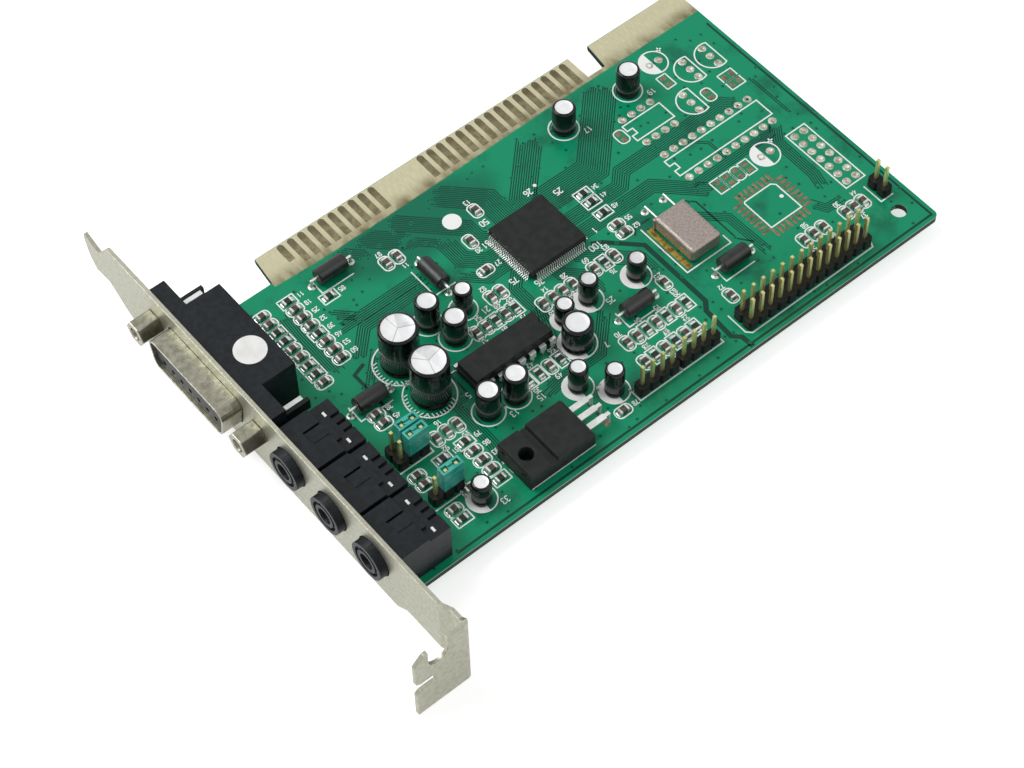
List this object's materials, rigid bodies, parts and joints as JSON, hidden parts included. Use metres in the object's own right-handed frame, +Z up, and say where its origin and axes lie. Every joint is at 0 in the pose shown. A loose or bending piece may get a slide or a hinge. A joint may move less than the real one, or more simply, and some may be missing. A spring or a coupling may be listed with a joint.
{
  "type": "isa sound card",
  "caption": "Desktop expansion card: green circuit board with a notched edge connector, a joystick port and audio jacks on a bent steel slot bracket.",
  "frame": {"origin": "middle of the footprint, at the height of the lowest edge of the bracket", "axes": "+X from the bracket to the far end of the board, +Y towards the edge connector, +Z up from the component side of the board"},
  "size_m": [0.148, 0.118, 0.0194],
  "materials": {
    "board": "satin",
    "contact_metal": "dull",
    "bracket_steel": "satin",
    "plated_steel": "satin",
    "connector_plastic": "matte",
    "tinned_metal": "bright",
    "chip_plastic": "matte",
    "can_metal": "satin",
    "capacitor_sleeve": "gloss",
    "ferrite": "semi-matte",
    "header_plastic": "matte",
    "header_metal": "bright",
    "shunt_plastic": "satin",
    "capacitor_ceramic": "satin",
    "resistor_ceramic": "satin",
    "solder": "bright",
    "label_paper": "matte"
  },
  "bodies": {
    "root": {"circuit_board": "board", "edge_contacts": "contact_metal", "bracket": "bracket_steel", "gameport_shell": "plated_steel", "gameport_insulator": "connector_plastic", "gameport_housing": "connector_plastic", "gameport_pins": "tinned_metal", "gameport_board_locks": "tinned_metal", "jackscrew_1": "plated_steel", "jackscrew_2": "plated_steel", "jack_body_1": "connector_plastic", "jack_contacts_1": "tinned_metal", "jack_body_2": "connector_plastic", "jack_contacts_2": "tinned_metal", "jack_body_3": "connector_plastic", "jack_contacts_3": "tinned_metal", "main_chip_body": "chip_plastic", "main_chip_leads": "tinned_metal", "amplifier_body": "chip_plastic", "amplifier_leads": "tinned_metal", "regulator_body": "chip_plastic", "regulator_leads": "tinned_metal", "crystal_can": "can_metal", "crystal_leads": "tinned_metal", "capacitor_1": "capacitor_sleeve", "capacitor_2": "capacitor_sleeve", "capacitor_3": "capacitor_sleeve", "capacitor_4": "capacitor_sleeve", "capacitor_5": "capacitor_sleeve", "capacitor_6": "capacitor_sleeve", "capacitor_7": "capacitor_sleeve", "capacitor_8": "capacitor_sleeve", "capacitor_9": "capacitor_sleeve", "capacitor_10": "capacitor_sleeve", "capacitor_11": "capacitor_sleeve", "capacitor_12": "capacitor_sleeve", "capacitor_13": "capacitor_sleeve", "capacitor_14": "capacitor_sleeve", "capacitor_15": "capacitor_sleeve", "capacitor_16": "capacitor_sleeve", "ferrite_bead_1": "ferrite", "ferrite_bead_2": "ferrite", "ferrite_bead_3": "ferrite", "ferrite_bead_4": "ferrite", "ferrite_bead_5": "ferrite", "bead_wires": "tinned_metal", "wave_header_base": "header_plastic", "wave_header_pins": "header_metal", "audio_header_base_1": "header_plastic", "audio_header_base_2": "header_plastic", "corner_header_base": "header_plastic", "jumper_header_bases": "header_plastic", "small_header_pins": "header_metal", "jumper_shunt_1": "shunt_plastic", "jumper_shunt_2": "shunt_plastic", "chip_capacitors": "capacitor_ceramic", "chip_resistors": "resistor_ceramic", "chip_terminals": "tinned_metal", "solder_joints": "solder", "inspection_sticker": "label_paper"}
  },
  "joints": []
}
